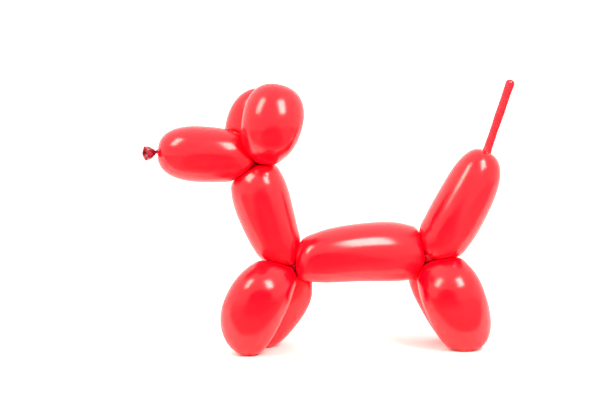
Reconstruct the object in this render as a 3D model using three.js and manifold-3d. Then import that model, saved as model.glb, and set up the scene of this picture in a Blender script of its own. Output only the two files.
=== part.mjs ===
// A small dog twisted from one long modelling balloon. It faces -X, its left side is -Y and +Z is up.
// Millimetres. The origin is on the floor, under the middle of the dog.
import * as THREE from 'three';
import { mergeVertices } from 'three/addons/utils/BufferGeometryUtils.js';
import Module from 'manifold-3d';

const wasm = await Module();
wasm.setup();

// Driving dimensions
const TUBE = 50; // the balloon's width where it is blown up and free
const LIMP = 0.155 * TUBE; // its width where no air got in
const TWIST = 0.2 * TUBE; // the width of the gathered rubber in a twist
const NECK = 0.065 * TUBE; // the width of the gathered rubber beside the nozzle
const LIP = 0.25 * TUBE; // the width of the nozzle's mouth
const NOZZLE_LENGTH = 0.225 * TUBE; // from the end of the snout to the mouth
const PAIR_THICKNESS = 0.9 * TUBE; // sideways, of each of two bubbles that press on each other
const PAIR_MIDDLE = 0.4 * TUBE; // how far the middle of each of the two is from the middle plane
const PAIR_LOCK = 0.12 * TUBE; // how far its near end is, at the lock
const PAIR_FOLD = 0.28 * TUBE; // how far its far end is, at the fold
const LATEX = { color: 0xff2a35, roughness: 0.18, metalness: 0 };

// How finely the solid is faceted
const AROUND = 22; // sides around a bubble
const ALONG = 15; // rings from one end of a bubble to the other
const AROUND_THIN = 14; // sides around the nozzle, the twists and the limp tip

// The bubbles, in the order in which the balloon runs through them, in widths of the tube.
// at is the middle of a bubble's axis, along the dog and up, and tilt is the axis's angle from +X in
// degrees, as seen from the dog's left. full is how full the ends are: 2 is an ellipse. widen is the
// share that it gains in width towards its far end, and bow is how far its middle bends up from a
// level axis. side is -1 for the left one of a pair, 1 for the right one, and 0 for a bubble between.
// lean moves the widest part of one of a pair towards its near end, and yaw turns a bubble's far end to
// the dog's right, in degrees.
const BUBBLES = {
  snout: { at: [-2.18, 3.5], tilt: -3.6, length: 1.69, width: 0.975, full: 2.5, widen: -0.04 },
  leftEar: {
    at: [-1.07, 4.03],
    tilt: 76, length: 1.41, width: 1.04, full: 2.3, widen: 0.1,
    side: -1, lean: 0.8,
  },
  rightEar: { at: [-1.3, 3.89], tilt: 80, length: 1.51, width: 1.08, full: 2.15, side: 1 },
  neck: { at: [-1.08, 2.39], tilt: -71.5, length: 1.89, width: 0.96, full: 2.9, widen: -0.18, bow: -0.04 },
  leftForeleg: {
    at: [-1.25, 0.82],
    tilt: -115, length: 1.77, width: 1.07, full: 2.35, bow: -0.14,
    side: -1, lean: 1,
  },
  rightForeleg: { at: [-1.01, 0.71], tilt: -127, length: 1.69, width: 1.11, full: 2.35, side: 1 },
  body: {
    at: [0.54, 1.65],
    tilt: 1.2, length: 2.31, width: 1.036, full: 3.7, widen: 0.11, bow: 0.085, yaw: 10,
  },
  leftHindleg: {
    at: [2.21, 0.79],
    tilt: -67, length: 1.76, width: 1.095, full: 2.6, widen: -0.08,
    side: -1, lean: 1,
  },
  rightHindleg: { at: [2.11, 0.77], tilt: -60, length: 1.8, width: 1.05, full: 2.5, bow: 0.1, side: 1 },
  tail: { at: [2.32, 2.57], tilt: 62, length: 2.12, width: 0.967, full: 2.8, widen: -0.06, bow: -0.04 },
};
// The end of the tube that no air reached. It stands on the tail.
const TIP = { at: [3.0, 4.125], tilt: 71.6, length: 1.4, width: LIMP / TUBE, full: 7, widen: 0.06 };
// Where the tube is twisted round itself in the middle plane, along the dog and up
const LOCKS = { head: [-1.42, 3.35], shoulder: [-0.67, 1.56], hip: [1.78, 1.66] };
// How far along its half axis a bubble reaches the twist that it shares with its pair
const FOLD_AT = 0.84;
// The way the nozzle points from the end of the snout
const NOZZLE_DROP = 11; // degrees below level
const NOZZLE_TURN = 22; // degrees to the dog's left

// A point of the middle plane, from tube widths along the dog and up
function inPlane([along, up]) {
  return new THREE.Vector3(along * TUBE, 0, up * TUBE);
}

// How far a bubble's axis is moved sideways, at a share from -1 at its near end to 1 at its far end
function asideAt({ length, side = 0, lean = 0, yaw = 0 }, share) {
  const ends = (PAIR_LOCK * (1 - share) + PAIR_FOLD * (1 + share)) / 2;
  const bulge = PAIR_MIDDLE - (PAIR_LOCK + PAIR_FOLD) / 2;
  const slant = (Math.tan(THREE.MathUtils.degToRad(yaw)) * length * TUBE) / 2;
  return side * (ends + bulge * (1 - share * share) * (1 - lean * share)) + slant * share;
}

// Where a bubble's axis passes, at the same share
function axisPoint(spec, share) {
  const { at, tilt, length, bow = 0 } = spec;
  const angle = THREE.MathUtils.degToRad(tilt);
  const reach = (share * length * TUBE) / 2;
  const bent = 1 - share * share;
  const point = inPlane(at);
  point.x += reach * Math.cos(angle) - bow * TUBE * bent * Math.sin(angle);
  point.z += reach * Math.sin(angle) + bow * TUBE * bent * Math.cos(angle);
  point.y += asideAt(spec, share);
  return point;
}

// A bubble: a superellipse turned about its axis, then widened, flattened and bent
function bubbleGeometry(spec, rings = ALONG, sides = AROUND) {
  const { at, tilt, length, width, full, widen = 0, bow = 0, side = 0 } = spec;
  const profile = [];
  for (let ring = 0; ring <= rings; ring += 1) {
    const angle = Math.PI * (ring / rings - 0.5);
    const share = Math.sign(angle) * Math.abs(Math.sin(angle)) ** (2 / full);
    const isEnd = ring === 0 || ring === rings;
    profile.push(new THREE.Vector2(isEnd ? 0 : Math.cos(angle) ** (2 / full), share));
  }
  const geometry = new THREE.LatheGeometry(profile, sides);
  const thickness = side === 0 ? width * TUBE : PAIR_THICKNESS;
  const place = geometry.attributes.position;
  for (let i = 0; i < place.count; i += 1) {
    const share = place.getY(i);
    const bent = 1 - share * share;
    const grown = 1 + widen * share;
    const across = (place.getX(i) * width * TUBE * grown) / 2 + bow * TUBE * bent;
    const aside = (place.getZ(i) * thickness * grown) / 2 + asideAt(spec, share);
    place.setXYZ(i, across, (share * length * TUBE) / 2, aside);
  }
  // The lathe's own axis is +Y: turned so that it lies along the tilt, with the lathe's +Z towards +Y
  const angle = THREE.MathUtils.degToRad(tilt);
  const axis = new THREE.Vector3(Math.cos(angle), 0, Math.sin(angle));
  const over = new THREE.Vector3(-Math.sin(angle), 0, Math.cos(angle));
  const turn = new THREE.Matrix4().makeBasis(over, axis, new THREE.Vector3(0, 1, 0));
  return geometry.applyMatrix4(turn.setPosition(inPlane(at)));
}

// The gathered rubber of a twist, around a point
function twistGeometry(centre) {
  const ball = new THREE.SphereGeometry(TWIST / 2, AROUND_THIN, AROUND_THIN / 2);
  return ball.translate(centre.x, centre.y, centre.z);
}

// The twist halfway between the far ends of a pair
function foldCentre(left, right) {
  return axisPoint(left, FOLD_AT).add(axisPoint(right, FOLD_AT)).multiplyScalar(0.5);
}

// The knotted nozzle: a thin neck, a knot, and a hollow mouth that flares to a rolled lip.
// Each row is how far along it is, as a share of its length, and its half width there.
function nozzleGeometry() {
  const halfWidths = [
    [-0.3, 0],
    [-0.3, 0.75 * NECK],
    [0.1, 0.5 * NECK],
    [0.32, 1.1 * NECK],
    [0.5, 0.85 * NECK],
    [0.7, 0.34 * LIP],
    [0.9, 0.46 * LIP],
    [0.97, 0.5 * LIP],
    [1, 0.46 * LIP],
    [0.95, 0.39 * LIP],
    [0.8, 0.27 * LIP],
    [0.7, 0],
  ];
  const profile = halfWidths.map(([share, across]) => new THREE.Vector2(across, share * NOZZLE_LENGTH));
  const nozzle = new THREE.LatheGeometry(profile, AROUND_THIN);
  const drop = THREE.MathUtils.degToRad(NOZZLE_DROP);
  const turn = THREE.MathUtils.degToRad(NOZZLE_TURN);
  const way = new THREE.Vector3(-1, 0, 0)
    .applyAxisAngle(new THREE.Vector3(0, 1, 0), -drop)
    .applyAxisAngle(new THREE.Vector3(0, 0, 1), turn);
  nozzle.applyQuaternion(new THREE.Quaternion().setFromUnitVectors(new THREE.Vector3(0, 1, 0), way));
  const root = axisPoint(BUBBLES.snout, -1);
  return nozzle.translate(root.x, root.y, root.z);
}

// A closed geometry as a solid that can be joined or cut
function solidOf(geometry) {
  const bare = geometry.clone();
  bare.deleteAttribute('normal');
  bare.deleteAttribute('uv');
  const merged = mergeVertices(bare, 1e-4);
  const vertProperties = new Float32Array(merged.attributes.position.array);
  const triVerts = new Uint32Array(merged.index.array);
  const mesh = new wasm.Mesh({ numProp: 3, vertProperties, triVerts });
  mesh.merge();
  return new wasm.Manifold(mesh);
}

// A solid as a geometry with flat faces
function geometryOf(solid) {
  const { vertProperties, triVerts } = solid.getMesh();
  const geometry = new THREE.BufferGeometry();
  geometry.setAttribute('position', new THREE.BufferAttribute(vertProperties, 3));
  geometry.setIndex(new THREE.BufferAttribute(triVerts, 1));
  geometry.computeVertexNormals();
  return geometry;
}

// Everything under the floor: a foot that reaches into it is flattened there
function floorGeometry() {
  const size = 10 * TUBE;
  return new THREE.BoxGeometry(size, size, size).translate(0, 0, -size / 2);
}

function balloonGeometry() {
  const { leftEar, rightEar, leftForeleg, rightForeleg, leftHindleg, rightHindleg } = BUBBLES;
  const folds = [
    foldCentre(leftEar, rightEar),
    foldCentre(leftForeleg, rightForeleg),
    foldCentre(leftHindleg, rightHindleg),
  ];
  const pieces = [
    ...Object.values(BUBBLES).map((spec) => bubbleGeometry(spec)),
    ...Object.values(LOCKS).map((lock) => twistGeometry(inPlane(lock))),
    ...folds.map(twistGeometry),
    bubbleGeometry(TIP, AROUND_THIN, AROUND_THIN),
    nozzleGeometry(),
  ];
  const joined = pieces.map(solidOf).reduce((whole, piece) => whole.add(piece));
  return geometryOf(joined.subtract(solidOf(floorGeometry())));
}

const balloon = new THREE.Mesh(balloonGeometry(), new THREE.MeshStandardMaterial(LATEX));
balloon.name = 'balloon';

const dog = new THREE.Group();
dog.add(balloon);

export default dog;
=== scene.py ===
# A small dog twisted from one long red modelling balloon, on a white table in a white room.
# Metres, in the frame's own axes: the dog faces -X, its left side is -Y and +Z is up.
import math

import bpy
import numpy as np
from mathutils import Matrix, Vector


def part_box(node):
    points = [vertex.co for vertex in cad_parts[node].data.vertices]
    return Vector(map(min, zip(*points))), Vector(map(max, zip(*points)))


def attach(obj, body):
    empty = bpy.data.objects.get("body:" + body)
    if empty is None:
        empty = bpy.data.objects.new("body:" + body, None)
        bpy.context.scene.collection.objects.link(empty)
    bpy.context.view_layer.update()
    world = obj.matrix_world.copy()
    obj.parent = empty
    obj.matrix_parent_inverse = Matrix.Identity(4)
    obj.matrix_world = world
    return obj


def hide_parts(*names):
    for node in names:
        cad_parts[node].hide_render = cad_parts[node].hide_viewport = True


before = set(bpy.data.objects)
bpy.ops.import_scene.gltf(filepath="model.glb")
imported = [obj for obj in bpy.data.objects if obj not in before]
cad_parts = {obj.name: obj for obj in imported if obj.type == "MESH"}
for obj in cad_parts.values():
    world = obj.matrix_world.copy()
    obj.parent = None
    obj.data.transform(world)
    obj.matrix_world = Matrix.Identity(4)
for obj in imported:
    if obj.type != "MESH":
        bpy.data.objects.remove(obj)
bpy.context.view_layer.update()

# ---------------------------------------------------------------- driving dimensions
LOW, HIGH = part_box("balloon")
LENGTH_IN_TUBES = 6.55  # the dog's length in widths of the tube
TUBE = (HIGH.x - LOW.x) / LENGTH_IN_TUBES  # the balloon's width where it is blown up and free
FLOOR = LOW.z
TWIST = 0.28 * TUBE  # the width of the gathered rubber in a twist
TWIST_LENGTH = 1.3  # its length across the dog, in its own widths
LIP = 0.25 * TUBE  # the width of the nozzle's mouth
NECK = 0.065 * TUBE  # the width of the gathered rubber beside the nozzle
NOZZLE_LENGTH = 0.225 * TUBE  # from the end of the snout to the mouth
NOZZLE_DROP = math.radians(6)  # how far below level the nozzle points
NOZZLE_TURN = math.radians(22)  # how far to the dog's left it points

# In tube widths
LIMP = 0.155  # the tube's width where no air got in
PAIR_THICKNESS = 0.9  # sideways, of each of two bubbles that press on each other
PAIR_MIDDLE = 0.4  # how far the middle of each of the two is from the middle plane
PAIR_LOCK = 0.12  # how far its near end is, at the lock
PAIR_FOLD = 0.28  # how far its far end is, at the fold

# How bubbles press on each other, as shares of how far the skin is from a bubble's middle
PRESS = 0.16  # how wide the rounded rim of a pressed face is
SWELL = 0.09  # how far the skin swells beside a lightly pressed face
SWELL_WIDTH = 0.13  # how far from the face it swells
OVERLAP = 0.015  # how far a pressed face runs into its neighbour's, so that no light gets through
DEEP = 0.88  # where the most pressed point of a deep touch is
LIGHT = 1.0  # where that of a light touch is
FOOT_ROUNDING = 0.05 * TUBE  # how far above the floor the rim of a foot starts to be rounded

# Where a pressed skin is looked for, as shares of the free bubble
NEARBY = 1.6  # a point of more than this fullness in a neighbour is clear of it
LEAST = 0.3
MOST = 1.5
HALVINGS = 24
UNTOUCHED = 9.0  # stands for a point that nothing presses on

# How far a twist draws the skin in, as the same share, and how far from the twist it does so
DIMPLE = 0.06
DIMPLE_REACH = 0.16 * TUBE
PLEAT_DEPTH = 0.013
PLEAT_REACH = 0.3 * TUBE
PLEATS = 11  # folds that run from a twist up onto the bubble
PLEAT_SHIFT = 0.3  # how far out of step a pleat may be, as a share of the step between two
PLEAT_WIDTHS = (0.1, 0.2)  # the least and the most, in radians around the twist
PLEAT_LENGTHS = (0.5, 1.0)  # the least and the most, as shares of the reach
THIN_REACH = 0.5  # how far the nozzle and the limp tip reach, as a share of what a twist does

# How slack the rubber is: 0 is blown up, and 1 isn't stretched at all
NOZZLE_SLACK = 1.0
TIP_SLACK = 0.25
TWIST_SLACK = 0.45

# How finely the skin is meshed
AROUND = 108  # sides around a bubble
ALONG = 76  # rings from one end of a bubble to the other
END_DENSITY = 0.8  # how much closer together the rings are at the ends
PROFILE_STEPS = 4001  # places along a bubble's outline that the rings are picked from
AROUND_THIN = 48  # sides around the nozzle, the twists and the limp tip
THIN_TURN = np.arange(AROUND_THIN) * 2 * math.pi / AROUND_THIN  # where those sides are
NOZZLE_RINGS = 96
TIP_RINGS = 90
TWIST_RINGS = 24

RANDOM = np.random.default_rng(7)


def clamp(values, low=0.0, high=1.0):
    return np.minimum(np.maximum(values, low), high)


def ease(values):
    """0 to 1 with level ends."""
    inside = clamp(values)
    return inside * inside * (3 - 2 * inside)


def ramp(values, start, end):
    """0 at the start and 1 at the end, with level ends."""
    return ease((values - start) / (end - start))


def soft_least(first, second, blend):
    """The lesser of two, rounded off where they are within blend of each other."""
    close = clamp(blend - np.abs(first - second), 0.0, blend) / blend
    return np.minimum(first, second) - close * close * blend / 4


# ---------------------------------------------------------------- the bubbles


class Bubble:
    """One bubble: a superellipse turned about its axis, then widened, flattened and bent.

    at is the middle of its axis, along the dog and up, in tube widths, and tilt is the axis's angle
    from +X. full is how full its ends are: 2 is an ellipse. widen is the share that it gains in width
    towards its far end, and bow is how far its middle bends up from a level axis. side is -1 for the
    left one of a pair, 1 for the right one and 0 for a bubble between. lean moves the widest part of
    one of a pair towards its lock, and yaw turns a bubble's far end to the dog's right, in degrees.
    """

    BEYOND = 1.2  # how far past its ends a bubble's bend is followed, as a share of half its length

    def __init__(self, at, tilt, length, width, full, widen=0.0, bow=0.0, side=0, lean=0.0, yaw=0.0):
        angle = math.radians(tilt)
        self.centre = np.array([at[0] * TUBE, 0.0, FLOOR + at[1] * TUBE])
        self.axis = np.array([math.cos(angle), 0.0, math.sin(angle)])
        self.over = np.array([-math.sin(angle), 0.0, math.cos(angle)])
        self.half_length = length * TUBE / 2
        self.half_width = width * TUBE / 2
        self.half_thickness = (PAIR_THICKNESS if side else width) * TUBE / 2
        self.full = full
        self.widen = widen
        self.bow = bow * TUBE
        self.side = side
        self.lean = lean
        self.slant = math.tan(math.radians(yaw)) * self.half_length

    def end(self, share):
        """A point of the straight axis, at a share from -1 to 1 of its length."""
        return self.centre + share * self.half_length * self.axis

    def bend(self, share):
        """How far the axis is moved over and aside, at the same share."""
        bent = 1 - share * share
        ends = PAIR_LOCK * (1 - share) / 2 + PAIR_FOLD * (1 + share) / 2
        bulge = (PAIR_MIDDLE - (PAIR_LOCK + PAIR_FOLD) / 2) * bent * (1 - self.lean * share)
        return self.bow * bent, self.side * TUBE * (ends + bulge) + self.slant * share

    def place(self, share, across, aside):
        """Points in the room from the bubble's own straight coordinates."""
        over, sideways = self.bend(share)
        along = share * self.half_length
        points = self.centre + along[..., None] * self.axis + (across + over)[..., None] * self.over
        points[..., 1] += aside + sideways
        return points

    def straighten(self, points):
        """The bubble's own straight coordinates from points in the room."""
        away = points - self.centre
        share = away @ self.axis / self.half_length
        over, sideways = self.bend(clamp(share, -self.BEYOND, self.BEYOND))
        return share, away @ self.over - over, away[..., 1] - sideways

    def fullness(self, points):
        """0 at the middle of the bubble, 1 on its skin and more than 1 outside."""
        share, across, aside = self.straighten(points)
        grown = 1 + self.widen * clamp(share, -self.BEYOND, self.BEYOND)
        around = np.hypot(across / self.half_width, aside / self.half_thickness) / grown
        return (np.abs(share) ** self.full + around**self.full) ** (1 / self.full)

    def profile(self, rings):
        """Shares along the axis and half widths as shares, with rings closer together at the ends."""
        angle = np.linspace(-math.pi / 2, math.pi / 2, PROFILE_STEPS)
        share = np.sign(angle) * np.abs(np.sin(angle)) ** (2 / self.full)
        radius = clamp(np.cos(angle), 0, 1) ** (2 / self.full)
        step = np.hypot(np.diff(share) * self.half_length, np.diff(radius) * self.half_width)
        weight = 1 + END_DENSITY * (1 - radius[1:])
        length = np.concatenate([[0], np.cumsum(step * weight)])
        picked = np.interp(np.linspace(0, length[-1], rings + 1), length, angle)
        return np.interp(picked, angle, share), np.interp(picked, angle, radius)


BUBBLES = {
    "snout": Bubble([-2.18, 3.5], -3.6, 1.69, 0.975, 2.5, widen=-0.04),
    "left_ear": Bubble([-1.07, 4.03], 76, 1.41, 1.04, 2.3, widen=0.1, side=-1, lean=0.8),
    "right_ear": Bubble([-1.3, 3.89], 80, 1.51, 1.08, 2.15, side=1),
    "neck": Bubble([-1.08, 2.39], -71.5, 1.89, 0.96, 2.9, widen=-0.18, bow=-0.04),
    "left_foreleg": Bubble([-1.25, 0.82], -115, 1.77, 1.07, 2.35, bow=-0.14, side=-1, lean=1.0),
    "right_foreleg": Bubble([-1.01, 0.71], -127, 1.69, 1.11, 2.35, side=1),
    "body": Bubble([0.54, 1.65], 1.2, 2.31, 1.036, 3.7, widen=0.11, bow=0.085, yaw=10),
    "left_hindleg": Bubble([2.21, 0.79], -67, 1.76, 1.095, 2.6, widen=-0.08, side=-1, lean=1.0),
    "right_hindleg": Bubble([2.11, 0.77], -60, 1.8, 1.05, 2.5, bow=0.1, side=1),
    "tail": Bubble([2.32, 2.57], 62, 2.12, 0.967, 2.8, widen=-0.06, bow=-0.04),
}
# The end of the tube that no air reached. It stands on the tail.
TIP = Bubble([3.0, 4.125], 71.6, 1.4, LIMP, 7, widen=0.06)

# Where the tube is twisted round itself in the middle plane, along the dog and up, in tube widths
LOCKS = {"head": (-1.42, 3.35), "shoulder": (-0.67, 1.56), "hip": (1.78, 1.66)}
FOLD_AT = 0.84  # how far along its half axis a bubble reaches the fold that it shares with its pair


def lock(name):
    along, up = LOCKS[name]
    return np.array([along * TUBE, 0.0, FLOOR + up * TUBE])


def fold(left, right):
    """The twist between the far ends of a pair."""
    return (BUBBLES[left].end(FOLD_AT) + BUBBLES[right].end(FOLD_AT)) / 2


TWISTS = {
    "head": lock("head"),
    "shoulder": lock("shoulder"),
    "hip": lock("hip"),
    "ears": fold("left_ear", "right_ear"),
    "forefeet": fold("left_foreleg", "right_foreleg"),
    "hindfeet": fold("left_hindleg", "right_hindleg"),
}
# The twists at the ends of each bubble
ENDS = {
    "snout": ("head",),
    "left_ear": ("head", "ears"),
    "right_ear": ("head", "ears"),
    "neck": ("head", "shoulder"),
    "left_foreleg": ("shoulder", "forefeet"),
    "right_foreleg": ("shoulder", "forefeet"),
    "body": ("shoulder", "hip"),
    "left_hindleg": ("hip", "hindfeet"),
    "right_hindleg": ("hip", "hindfeet"),
    "tail": ("hip",),
}
# Where the nozzle and the limp tip leave the tube, as a share of the bubble's half axis
THIN_ENDS = {"snout": -1, "tail": 1}


def drawn(bubble, points, twist, reach):
    """How far a twist and its pleats draw the skin in, and how slack it is there."""
    inward = bubble.centre - twist
    inward = inward / np.linalg.norm(inward)
    level = np.cross(inward, [0.0, 1.0, 0.0])
    level = level / np.linalg.norm(level)
    away = points - twist
    distance = np.linalg.norm(away, axis=-1)
    turn = np.arctan2(away @ np.cross(inward, level), away @ level)
    depth = DIMPLE * ease(1 - distance / (DIMPLE_REACH * reach))
    for pleat in range(PLEATS):
        middle = (pleat + RANDOM.uniform(-PLEAT_SHIFT, PLEAT_SHIFT)) * 2 * math.pi / PLEATS
        width = RANDOM.uniform(*PLEAT_WIDTHS)
        fade = ease(1 - distance / (PLEAT_REACH * reach * RANDOM.uniform(*PLEAT_LENGTHS)))
        aside = (turn - middle + math.pi) % (2 * math.pi) - math.pi
        depth += PLEAT_DEPTH * fade * np.exp(-((aside / width) ** 2))
    return depth, ease(1 - distance / (PLEAT_REACH * reach))


def meeting(bubble, other, share, across, aside):
    """How far out the skin meets a neighbour, as a share of the free bubble at each of its points."""
    meet = np.full(share.shape, UNTOUCHED)
    near = other.fullness(bubble.place(share, across, aside)) < NEARBY
    if not near.any():
        return meet
    low = np.full(near.sum(), LEAST)
    high = np.full(near.sum(), MOST)
    for _ in range(HALVINGS):
        middle = (low + high) / 2
        points = bubble.place(share[near] * middle, across[near] * middle, aside[near] * middle)
        outside = other.fullness(points) > middle * (1 - 2 * OVERLAP)
        low = np.where(outside, middle, low)
        high = np.where(outside, high, middle)
    meet[near] = np.where(high == MOST, UNTOUCHED, low)
    return meet


def pressed(bubble, others, share, across, aside):
    """How far out the skin is, as a share of the free bubble: flat on a neighbour, swollen beside it."""
    swell = np.zeros_like(share)
    nearest = np.full(share.shape, UNTOUCHED)
    for other in others:
        meet = meeting(bubble, other, share, across, aside)
        beside = clamp(meet - 1, 0, UNTOUCHED) / SWELL_WIDTH
        lightness = ramp(meet.min(), DEEP, LIGHT)
        swell = np.maximum(swell, SWELL * lightness * np.exp(-beside * beside))
        nearest = soft_least(nearest, meet, PRESS / 2)
    return soft_least(1 + swell, nearest, PRESS)


def stand(points):
    """Points under the floor pressed flat on it, with a rounded rim."""
    height = points[..., 2] - FLOOR
    points[..., 2] = FLOOR - soft_least(-height, np.zeros_like(height), FOOT_ROUNDING)
    return points


def tube_faces(rings, around):
    """Faces of a closed tube: rings of vertices, then the vertex at each end."""
    index = np.arange(rings * around).reshape(rings, around)
    following = np.roll(index, -1, axis=1)
    first = rings * around
    last = first + 1
    sides = np.stack([index[:-1], index[1:], following[1:], following[:-1]], axis=-1)
    faces = sides.reshape(-1, 4).tolist()
    faces += [[first, a, b] for a, b in zip(index[0], following[0])]
    faces += [[last, b, a] for a, b in zip(index[-1], following[-1])]
    return faces


def bubble_skin(name):
    """Vertices, faces and slackness of one bubble."""
    bubble = BUBBLES[name]
    others = [other for key, other in BUBBLES.items() if key != name]
    share, radius = bubble.profile(ALONG)
    turn = np.arange(AROUND) * 2 * math.pi / AROUND
    share, turn = np.meshgrid(share[1:-1], turn, indexing="ij")
    radius = np.repeat(radius[1:-1, None], AROUND, axis=1)
    grown = 1 + bubble.widen * share
    across = radius * np.cos(turn) * bubble.half_width * grown
    aside = radius * np.sin(turn) * bubble.half_thickness * grown
    scale = pressed(bubble, others, share, across, aside)
    free = bubble.place(share * scale, across * scale, aside * scale)

    twists = [(TWISTS[end], 1.0) for end in ENDS[name]]
    if name in THIN_ENDS:
        twists.append((bubble.end(THIN_ENDS[name]), THIN_REACH))
    draw = np.zeros_like(share)
    slack = np.zeros_like(share)
    for twist, reach in twists:
        deeper, slacker = drawn(bubble, free, twist, reach)
        draw += deeper
        slack = np.maximum(slack, slacker)
    scale = scale * (1 - draw)

    skin = bubble.place(share * scale, across * scale, aside * scale)
    poles = np.array([skin[0].mean(axis=0), skin[-1].mean(axis=0)])
    points = np.concatenate([skin.reshape(-1, 3), poles])
    slack = np.concatenate([slack.ravel(), [slack[0].mean(), slack[-1].mean()]])
    return stand(points), tube_faces(len(skin), AROUND), slack


# ---------------------------------------------------------------- the nozzle, the tip and the twists


def smooth_line(knots, count):
    """count points of a smooth curve through the knots."""
    knots = np.array(knots, dtype=float)
    padded = np.concatenate([[2 * knots[0] - knots[1]], knots, [2 * knots[-1] - knots[-2]]])
    steps = np.linspace(0, len(knots) - 1, count)
    whole = np.minimum(steps.astype(int), len(knots) - 2)
    part = (steps - whole)[:, None]
    a, b, c, d = (padded[whole + shift] for shift in range(4))
    return 0.5 * (
        2 * b + (c - a) * part + (2 * a - 5 * b + 4 * c - d) * part**2 + (3 * b - a - 3 * c + d) * part**3
    )


def turned(rings, root, way, wider, further=0.0):
    """Vertices and faces of a thin skin turned about a line.

    rings holds lengths along the line and half widths. wider multiplies the half widths and further is
    added to the lengths, at each ring and turn.
    """
    way = way / np.linalg.norm(way)
    level = np.cross(way, [0.0, 0.0, 1.0])
    level = level / np.linalg.norm(level)
    upright = np.cross(level, way)
    radius = rings[:, 1][:, None] * wider
    along = rings[:, 0][:, None] + further
    points = root + along[..., None] * way
    points = points + (radius * np.cos(THIN_TURN))[..., None] * level
    points = points + (radius * np.sin(THIN_TURN))[..., None] * upright
    ends = np.array([points[0].mean(axis=0), points[-1].mean(axis=0)])
    return np.concatenate([points.reshape(-1, 3), ends]), tube_faces(len(rings), AROUND_THIN)


def ripple(height, folds, start=0.0, slant=0.0):
    """Even folds along a thin skin, shifted by start, and by slant where they turn as they go."""
    return height * np.cos(folds * THIN_TURN + start + slant)


def crease(depth, turn, width):
    """One crease along a thin skin."""
    return depth * np.exp(-((np.sin((THIN_TURN - turn) / 2) / width) ** 2))


def nozzle_skin():
    """The gathered neck, the knot, and the mouth that flares to a rolled lip and is hollow."""
    # Shares of the nozzle's length, and half widths there
    knots = [
        (-0.2, 0.7 * NECK),
        (0.03, 0.5 * NECK),
        (0.1, 0.36 * NECK),
        (0.18, 0.46 * NECK),
        (0.25, 0.8 * NECK),
        (0.33, 1.05 * NECK),
        (0.4, 1.12 * NECK),
        (0.48, 0.36 * LIP),
        (0.57, 0.43 * LIP),
        (0.7, 0.46 * LIP),
        (0.84, 0.475 * LIP),
        (0.94, 0.48 * LIP),
        (0.98, 0.5 * LIP),
        (1.0, 0.49 * LIP),
        (0.995, 0.455 * LIP),
        (0.96, 0.435 * LIP),
        (0.86, 0.4 * LIP),
        (0.72, 0.32 * LIP),
        (0.6, 0.19 * LIP),
        (0.55, 0.06 * LIP),
    ]
    rings = smooth_line(knots, NOZZLE_RINGS) * [NOZZLE_LENGTH, 1]
    share = rings[:, 0][:, None] / NOZZLE_LENGTH

    gathered = ramp(share, 0.3, 0.0)  # all the way at the snout, and gone by the knot
    creased = ramp(share, 0.25, 0.4) * ramp(share, 1.2, 0.7)  # from the knot on, and less at the lip
    mouth = ramp(share, 0.6, 1.0)
    wider = 1 + gathered * ripple(0.14, 5, slant=14 * share)
    wider = wider + creased * (ripple(0.06, 5, start=1.1) + ripple(0.05, 3, start=-0.6, slant=2 * share))
    wider = wider - creased * crease(0.2, 2.0, 0.12)
    wider = wider - creased * crease(0.16, 4.4, 0.1)
    further = NOZZLE_LENGTH * mouth * (ripple(0.03, 2, start=0.7) + ripple(0.015, 5))

    way = np.array([
        -math.cos(NOZZLE_DROP) * math.cos(NOZZLE_TURN),
        -math.sin(NOZZLE_TURN),
        -math.sin(NOZZLE_DROP),
    ])
    points, faces = turned(rings, BUBBLES["snout"].end(-1), way, wider, further)
    return points, faces, np.full(len(points), NOZZLE_SLACK)


def tip_skin():
    """The limp tube, with a rounded end, and a little wider where it leaves the tail."""
    rounded = 0.1  # how much of half its length the end's rounding takes
    root = 0.22  # how much of half its length the wider root takes
    flare = 0.3  # how much wider the root is
    least = 0.02  # the last ring's half width, as a share
    share = np.linspace(-1, 1, TIP_RINGS)
    far = clamp((share - (1 - rounded)) / rounded)
    base = clamp((root - 1 - share) / root)
    radius = TIP.half_width * (1 + TIP.widen * share) * np.sqrt(np.maximum(1 - far**2, least**2))
    radius = radius * (1 + flare * base * base)
    rings = np.stack([share * TIP.half_length, radius], axis=1)

    share = share[:, None]
    lumps = 0.03 * np.sin(7 * share + 1) + 0.012 * np.sin(19 * share + THIN_TURN)
    flat = ripple(0.07, 2, start=0.8)
    kink = 0.06 * np.exp(-(((share - 0.3) / 0.035) ** 2)) * (1 + np.cos(THIN_TURN - 2.6)) / 2
    pleats = base[:, None] * ripple(0.12, 8)
    points, faces = turned(rings, TIP.centre, TIP.axis, 1 + lumps + flat - kink + pleats)
    return points, faces, np.full(len(points), TIP_SLACK)


def twist_skin(centre):
    """The wrung rubber of a twist. It lies across the dog, and not quite squarely."""
    across = np.array([0.05, 1.0, 0.1])
    angle = np.linspace(-math.pi / 2, math.pi / 2, TWIST_RINGS + 2)[1:-1]
    rings = np.stack([TWIST_LENGTH * np.sin(angle), np.cos(angle)], axis=1) * TWIST / 2
    part = np.linspace(0, 1, TWIST_RINGS)[:, None]
    points, faces = turned(rings, centre, across, 1 + ripple(0.16, 6, slant=7 * part))
    return stand(points), faces, np.full(len(points), TWIST_SLACK)


# ---------------------------------------------------------------- materials
RED = (0.92, 0.0, 0.012, 1)
OTHER_RED = (0.9, 0.0, 0.009, 1)  # the dye is a little uneven
SLACK_RED = (0.22, 0.002, 0.014, 1)  # where the rubber isn't stretched
CLOUD = TUBE / 0.9  # how wide the uneven patches of the dye are
GRAIN = TUBE / 60  # how wide the grains of the rubber's faint texture are
GRAIN_HEIGHT = 0.0002


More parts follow.
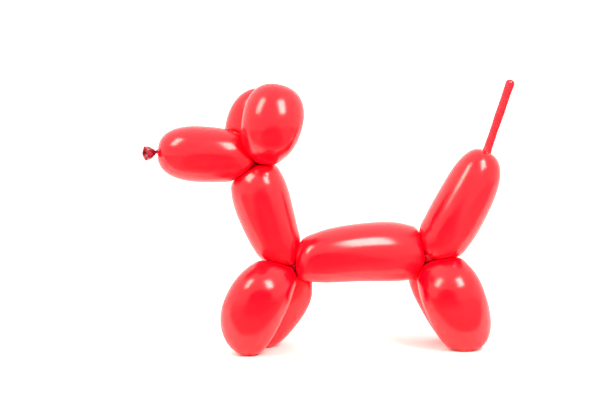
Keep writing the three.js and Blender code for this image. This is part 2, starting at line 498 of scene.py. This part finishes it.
def latex():
    """Thin red rubber: glossy, and a little of what is behind it shows through."""
    material = bpy.data.materials.new("latex")
    material.use_nodes = True
    nodes = material.node_tree.nodes
    links = material.node_tree.links
    shader = nodes["Principled BSDF"]
    place = nodes.new("ShaderNodeTexCoord")

    # The dye is a little uneven, and darker where the rubber isn't stretched
    cloud = nodes.new("ShaderNodeTexNoise")
    cloud.inputs["Scale"].default_value = 1 / CLOUD
    cloud.inputs["Detail"].default_value = 3
    links.new(place.outputs["Object"], cloud.inputs["Vector"])
    slack = nodes.new("ShaderNodeAttribute")
    slack.attribute_name = "slack"
    even = nodes.new("ShaderNodeMix")
    even.data_type = "RGBA"
    even.inputs["A"].default_value = RED
    even.inputs["B"].default_value = OTHER_RED
    links.new(cloud.outputs["Fac"], even.inputs["Factor"])
    dye = nodes.new("ShaderNodeMix")
    dye.data_type = "RGBA"
    dye.inputs["B"].default_value = SLACK_RED
    links.new(slack.outputs["Fac"], dye.inputs["Factor"])
    links.new(even.outputs["Result"], dye.inputs["A"])
    links.new(dye.outputs["Result"], shader.inputs["Base Color"])

    # Gloss with faint cloudy patches
    gloss = nodes.new("ShaderNodeMapRange")
    gloss.inputs["To Min"].default_value = 0.15
    gloss.inputs["To Max"].default_value = 0.22
    links.new(cloud.outputs["Fac"], gloss.inputs["Value"])
    links.new(gloss.outputs["Result"], shader.inputs["Roughness"])

    # A faint grain
    grain = nodes.new("ShaderNodeTexNoise")
    grain.inputs["Scale"].default_value = 1 / GRAIN
    links.new(place.outputs["Object"], grain.inputs["Vector"])
    bump = nodes.new("ShaderNodeBump")
    bump.inputs["Strength"].default_value = 0.06
    bump.inputs["Distance"].default_value = GRAIN_HEIGHT
    links.new(grain.outputs["Fac"], bump.inputs["Height"])
    links.new(bump.outputs["Normal"], shader.inputs["Normal"])

    shader.inputs["Alpha"].default_value = 0.96
    shader.inputs["IOR"].default_value = 1.52
    shader.inputs["Subsurface Weight"].default_value = 0.5
    shader.inputs["Subsurface Scale"].default_value = 0.12 * TUBE
    shader.inputs["Subsurface Radius"].default_value = (1.0, 0.05, 0.08)
    return material


def matt(name, value):
    material = bpy.data.materials.new(name)
    material.use_nodes = True
    shader = material.node_tree.nodes["Principled BSDF"]
    shader.inputs["Base Color"].default_value = (value, value, value, 1)
    shader.inputs["Roughness"].default_value = 0.9
    return material


def flag_black():
    """Black in the middle, and fading out to nothing in an oval."""
    material = bpy.data.materials.new("black flag")
    material.use_nodes = True
    nodes = material.node_tree.nodes
    links = material.node_tree.links
    nodes.remove(nodes["Principled BSDF"])
    place = nodes.new("ShaderNodeTexCoord")

    # From 0 to 1 across the card to -1 to 1, so that the oval is in its middle
    centred = nodes.new("ShaderNodeMapping")
    centred.inputs["Location"].default_value = (-1, 0, -1)
    centred.inputs["Scale"].default_value = (2, 0, 2)
    oval = nodes.new("ShaderNodeTexGradient")
    oval.gradient_type = "SPHERICAL"
    fade = nodes.new("ShaderNodeMapRange")
    fade.interpolation_type = "SMOOTHSTEP"
    fade.inputs["From Max"].default_value = 0.22
    black = nodes.new("ShaderNodeBsdfDiffuse")
    black.inputs["Color"].default_value = (0, 0, 0, 1)
    clear = nodes.new("ShaderNodeBsdfTransparent")
    mix = nodes.new("ShaderNodeMixShader")
    links.new(place.outputs["Generated"], centred.inputs["Vector"])
    links.new(centred.outputs["Vector"], oval.inputs["Vector"])
    links.new(oval.outputs["Fac"], fade.inputs["Value"])
    links.new(fade.outputs["Result"], mix.inputs["Fac"])
    links.new(clear.outputs[0], mix.inputs[1])
    links.new(black.outputs[0], mix.inputs[2])
    links.new(mix.outputs[0], nodes["Material Output"].inputs["Surface"])
    return material


# ---------------------------------------------------------------- the balloon


def gather(parts):
    """One vertex list, face list and slackness list from several."""
    points, faces, slack = [], [], []
    for part_points, part_faces, part_slack in parts:
        start = sum(len(p) for p in points)
        points.append(part_points)
        faces += [[start + corner for corner in face] for face in part_faces]
        slack.append(part_slack)
    return np.concatenate(points), faces, np.concatenate(slack)


def piece(name, points, faces, slack, material):
    mesh = bpy.data.meshes.new(name)
    mesh.from_pydata([tuple(p) for p in points], [], faces)
    mesh.update()
    mesh.validate()
    mesh.shade_smooth()
    layer = mesh.attributes.new("slack", "FLOAT", "POINT")
    layer.data.foreach_set("value", np.asarray(slack, dtype=np.float32))
    made = bpy.data.objects.new(name, mesh)
    mesh.materials.append(material)
    bpy.context.collection.objects.link(made)
    return made


def balloon():
    parts = [bubble_skin(name) for name in BUBBLES]
    parts += [twist_skin(centre) for centre in TWISTS.values()]
    parts += [nozzle_skin(), tip_skin()]
    return piece("balloon_skin", *gather(parts), latex())


made = balloon()
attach(made, "root")
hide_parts("balloon")

# ---------------------------------------------------------------- the studio
CENTRE = (-0.0219, 0.0, 0.1315)  # what the camera and the softboxes are aimed at
LIFT = 0.0003  # how far apart cards that lie on the table are
FRONT_GLOW = 1.1  # how bright the room is behind the camera
BACK_GLOW = 1.75  # how bright it is behind the dog
ROOM_WHITE = (1.0, 0.98, 0.92, 1)


def card(name, width, height, material):
    """An upright card in the XZ plane, with its middle at its own origin."""
    x = width / 2
    z = height / 2
    mesh = bpy.data.meshes.new(name)
    mesh.from_pydata([(-x, 0, -z), (x, 0, -z), (x, 0, z), (-x, 0, z)], [], [(0, 1, 2, 3)])
    mesh.materials.append(material)
    made = bpy.data.objects.new(name, mesh)
    bpy.context.collection.objects.link(made)
    return made


def lay_flat(screen, x, y, lift):
    screen.rotation_euler.x = math.radians(-90)
    screen.location = (x, y, FLOOR + lift)


def aim(thing, target):
    thing.rotation_mode = "QUATERNION"
    thing.rotation_quaternion = (Vector(target) - thing.location).to_track_quat("-Z", "Y")


def softbox(name, place, width, height, power, colour):
    light = bpy.data.lights.new(name, "AREA")
    light.shape = "RECTANGLE"
    light.size = width
    light.size_y = height
    light.energy = power
    light.color = colour
    made = bpy.data.objects.new(name, light)
    made.location = place
    bpy.context.collection.objects.link(made)
    aim(made, CENTRE)
    return made


def white_room():
    """White all round, and brighter behind the dog than behind the camera."""
    world = bpy.data.worlds.new("white room")
    world.use_nodes = True
    nodes = world.node_tree.nodes
    links = world.node_tree.links
    place = nodes.new("ShaderNodeTexCoord")
    split = nodes.new("ShaderNodeSeparateXYZ")
    glow = nodes.new("ShaderNodeMapRange")
    glow.interpolation_type = "SMOOTHSTEP"
    glow.inputs["From Min"].default_value = -1.0
    glow.inputs["From Max"].default_value = 0.8
    glow.inputs["To Min"].default_value = FRONT_GLOW
    glow.inputs["To Max"].default_value = BACK_GLOW
    links.new(place.outputs["Generated"], split.inputs["Vector"])
    links.new(split.outputs["Y"], glow.inputs["Value"])
    links.new(glow.outputs["Result"], nodes["Background"].inputs["Strength"])
    nodes["Background"].inputs["Color"].default_value = ROOM_WHITE
    return world


black = flag_black()
table = card("table", 6, 6, matt("white table", 0.97))
lay_flat(table, 0, 0, 0)

# Only reflections see these: they keep the white off the balloon's near side
apron = card("apron", 3, 1.4, matt("grey apron", 0.22))
lay_flat(apron, 0, -0.75, LIFT)
low_flag = card("low flag", 0.5, 0.5, black)
lay_flat(low_flag, -0.04, -0.31, 2 * LIFT)
flag = card("flag", 0.4, 0.36, black)
flag.location = (-0.05, -0.26, 0.05)
for screen in (apron, low_flag, flag):
    screen.visible_camera = False
    screen.visible_diffuse = False
    screen.visible_shadow = False
    screen.visible_transmission = False

softbox("left softbox", (-0.6, -0.36, 0.87), 0.26, 0.5, 6, (1.0, 0.95, 0.78))
softbox("right softbox", (0.38, -0.62, 0.85), 0.3, 0.5, 9, (1.0, 0.98, 0.9))
bpy.context.scene.world = white_room()

# ---------------------------------------------------------------- the camera
AZIMUTH = math.radians(-6)  # from the dog's left side, towards its tail
ELEVATION = math.radians(6.5)
DISTANCE = 1.1

lens = bpy.data.cameras.new("camera")
lens.sensor_width = 36
lens.lens = 73.5
camera = bpy.data.objects.new("camera", lens)
bpy.context.collection.objects.link(camera)
camera.location = (
    CENTRE[0] + DISTANCE * math.sin(AZIMUTH) * math.cos(ELEVATION),
    CENTRE[1] - DISTANCE * math.cos(AZIMUTH) * math.cos(ELEVATION),
    CENTRE[2] + DISTANCE * math.sin(ELEVATION),
)
aim(camera, CENTRE)
bpy.context.scene.camera = camera
bpy.context.scene.view_settings.view_transform = "Standard"
